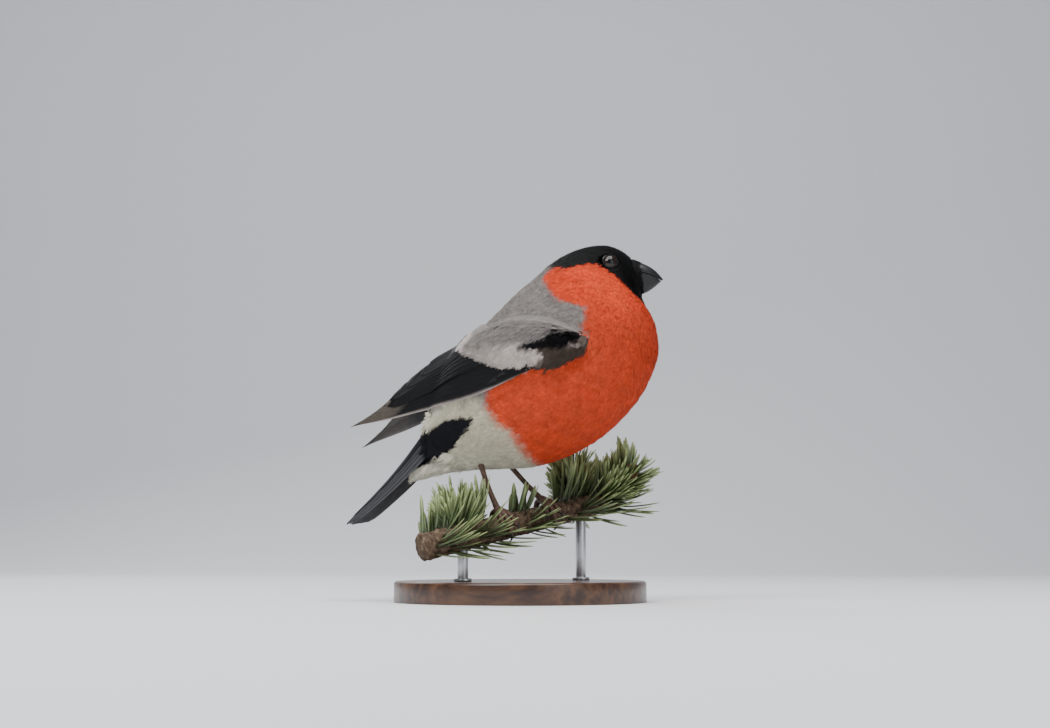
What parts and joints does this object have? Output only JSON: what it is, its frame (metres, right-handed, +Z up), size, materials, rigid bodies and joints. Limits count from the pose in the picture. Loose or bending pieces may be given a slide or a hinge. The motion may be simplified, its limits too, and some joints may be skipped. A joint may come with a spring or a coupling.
{
  "type": "bullfinch model",
  "caption": "Life-size still model of a male bullfinch standing on a short cut branch held above a round display base by steel rods.",
  "frame": {"origin": "centre of the underside of the round base", "axes": "+X the way the bird faces, +Y to its left, +Z up"},
  "size_m": [0.1247, 0.096, 0.1365],
  "materials": {
    "feathers": "matte",
    "cap_feathers": "satin",
    "bill": "semi gloss",
    "eye": "gloss",
    "dark_feathers": "satin",
    "leg": "matte",
    "bark": "matte",
    "base_wood": "satin",
    "rod": "satin"
  },
  "bodies": {
    "root": {"torso": "feathers", "neck": "feathers", "head": "cap_feathers", "bill_upper": "bill", "bill_lower": "bill", "eye_right": "eye", "eye_left": "eye", "tail": "dark_feathers", "wing_right": "dark_feathers", "wing_left": "dark_feathers", "leg_right": "leg", "leg_left": "leg", "stand_perch": "bark", "stand_base": "base_wood", "stand_rod_1": "rod", "stand_rod_2": "rod"}
  },
  "joints": []
}
